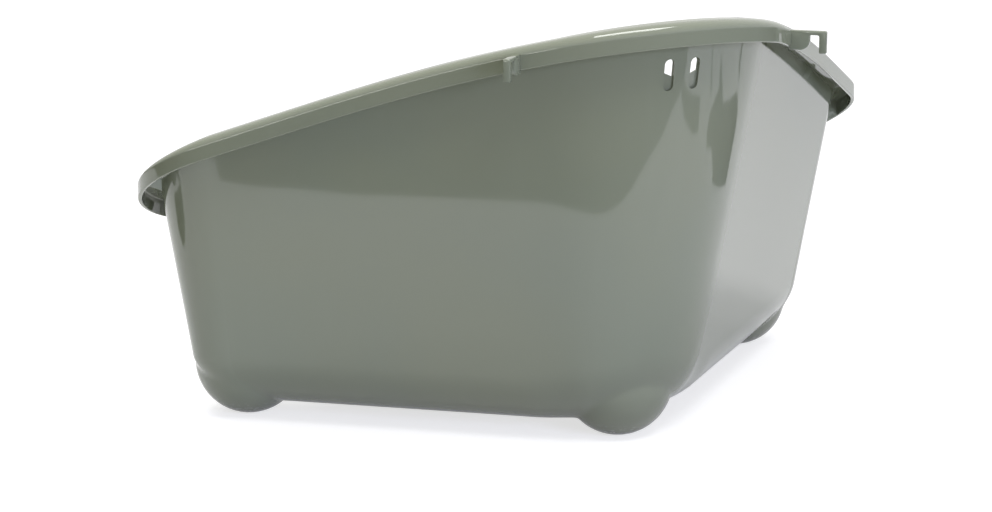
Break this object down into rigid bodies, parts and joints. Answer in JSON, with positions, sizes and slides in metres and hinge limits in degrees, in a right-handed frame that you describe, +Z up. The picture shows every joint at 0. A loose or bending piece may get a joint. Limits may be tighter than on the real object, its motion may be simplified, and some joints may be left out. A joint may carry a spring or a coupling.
{
  "type": "corner litter tray",
  "caption": "Right-angled corner litter tray with a sloping flanged rim, low front entrance, ball feet and wire-hanging hooks.",
  "frame": {"origin": "middle of the bounding box's bottom face, on the surface the tray stands on", "axes": "+Z up, +Y from the low front entrance to the high back corner, X across the tray from tip to tip, symmetric about X = 0"},
  "size_m": [0.35, 0.205, 0.185],
  "materials": {
    "shell_plastic": "glossy grey-green moulded plastic"
  },
  "bodies": {
    "root": {"basin": "shell_plastic", "rim": "shell_plastic", "foot_back": "shell_plastic", "foot_left": "shell_plastic", "foot_right": "shell_plastic", "cage_hook_left": "shell_plastic", "cage_hook_right": "shell_plastic", "leg_rib_left": "shell_plastic", "leg_rib_right": "shell_plastic", "tip_rib_left": "shell_plastic", "tip_rib_right": "shell_plastic"}
  },
  "joints": []
}
